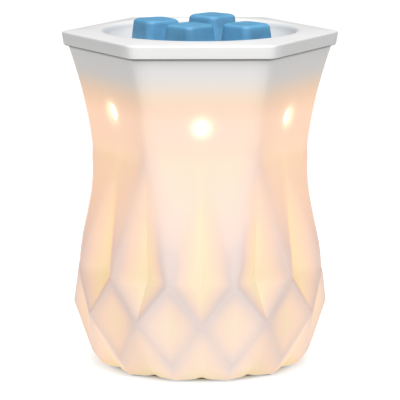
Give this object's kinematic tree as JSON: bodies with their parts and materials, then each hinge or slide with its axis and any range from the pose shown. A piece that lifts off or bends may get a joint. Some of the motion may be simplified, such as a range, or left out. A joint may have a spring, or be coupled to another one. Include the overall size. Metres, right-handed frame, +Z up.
{
  "type": "wax warmer",
  "caption": "Faceted hexagonal porcelain wax warmer, lit and heated from inside by a small screw-cap bulb, with a lift-off dish holding scented wax cubes.",
  "frame": {"origin": "centre of the footprint, on the table under the foot pads", "axes": "+Z up; a flat side with a light hole faces -Y; the cord inlet is at the back, towards +Y"},
  "size_m": [0.1446, 0.1348, 0.183],
  "materials": {
    "porcelain": "satin glaze, glows warm where the wall is thin",
    "dish_porcelain": "satin glaze",
    "wax": "soft satin, slightly cloudy",
    "pad_rubber": "matte, translucent grey",
    "cover_plastic": "fine matte grain",
    "grommet_rubber": "matte",
    "zinc_steel": "zinc plated",
    "fibre_washer": "matte fibre",
    "holder_phenolic": "moulded, semi-matte",
    "block_ceramic": "unglazed",
    "brass_screw": "machined",
    "contact_brass": "stamped",
    "solder": "solder",
    "bulb_glass": "clear",
    "cap_nickel": "nickel plated, rolled thread",
    "cap_glass": "black glass insulator",
    "stem_glass": "clear",
    "lead_wire": "drawn wire",
    "filament_glow": "lit tungsten coil"
  },
  "bodies": {
    "base": {"body_shell": "porcelain", "foot_pads": "pad_rubber", "bottom_cover": "cover_plastic", "cord_grommet": "grommet_rubber", "threaded_nipple": "zinc_steel", "nipple_nuts": "zinc_steel", "floor_washers": "fibre_washer", "lock_washer": "zinc_steel", "holder_cap": "holder_phenolic", "contact_block": "block_ceramic", "terminal_screws": "brass_screw", "centre_contact": "contact_brass", "screw_shell": "contact_brass", "holder_skirt": "holder_phenolic"},
    "bulb_screw": {"tip_contact": "solder"},
    "bulb": {"bulb_glass": "bulb_glass", "bulb_cap": "cap_nickel", "cap_insulator": "cap_glass", "bulb_stem": "stem_glass", "lead_wires": "lead_wire", "filament": "filament_glow", "filament_support": "lead_wire"},
    "dish": {"wax_dish": "dish_porcelain"},
    "wax_cube_left": {"wax_cube_left": "wax"},
    "wax_cube_middle": {"wax_cube_middle": "wax"},
    "wax_cube_right": {"wax_cube_right": "wax"},
    "wax_cube_back": {"wax_cube_back": "wax"}
  },
  "joints": [
    {"name": "bulb_rise", "type": "slide", "parent": "base", "child": "bulb_screw", "axis": [0, 0, 1], "range_m": [0, 0.01411]},
    {"name": "bulb_turn", "type": "hinge", "parent": "bulb_screw", "child": "bulb", "pos_m": [0, 0, 0.06], "axis": [0, 0, 1], "range_deg": [0, 1800]},
    {"name": "dish_lift", "type": "slide", "parent": "base", "child": "dish", "axis": [0, 0, 1], "range_m": [0, 0.06]},
    {"name": "cube_left_lift", "type": "slide", "parent": "dish", "child": "wax_cube_left", "axis": [0, 0, 1], "range_m": [0, 0.04]},
    {"name": "cube_middle_lift", "type": "slide", "parent": "dish", "child": "wax_cube_middle", "axis": [0, 0, 1], "range_m": [0, 0.04]},
    {"name": "cube_right_lift", "type": "slide", "parent": "dish", "child": "wax_cube_right", "axis": [0, 0, 1], "range_m": [0, 0.04]},
    {"name": "cube_back_lift", "type": "slide", "parent": "dish", "child": "wax_cube_back", "axis": [0, 0, 1], "range_m": [0, 0.04]}
  ],
  "couplings": [
    {"joint": "bulb_rise", "follows": "bulb_turn", "m_per_rad": 0.00044882}
  ]
}
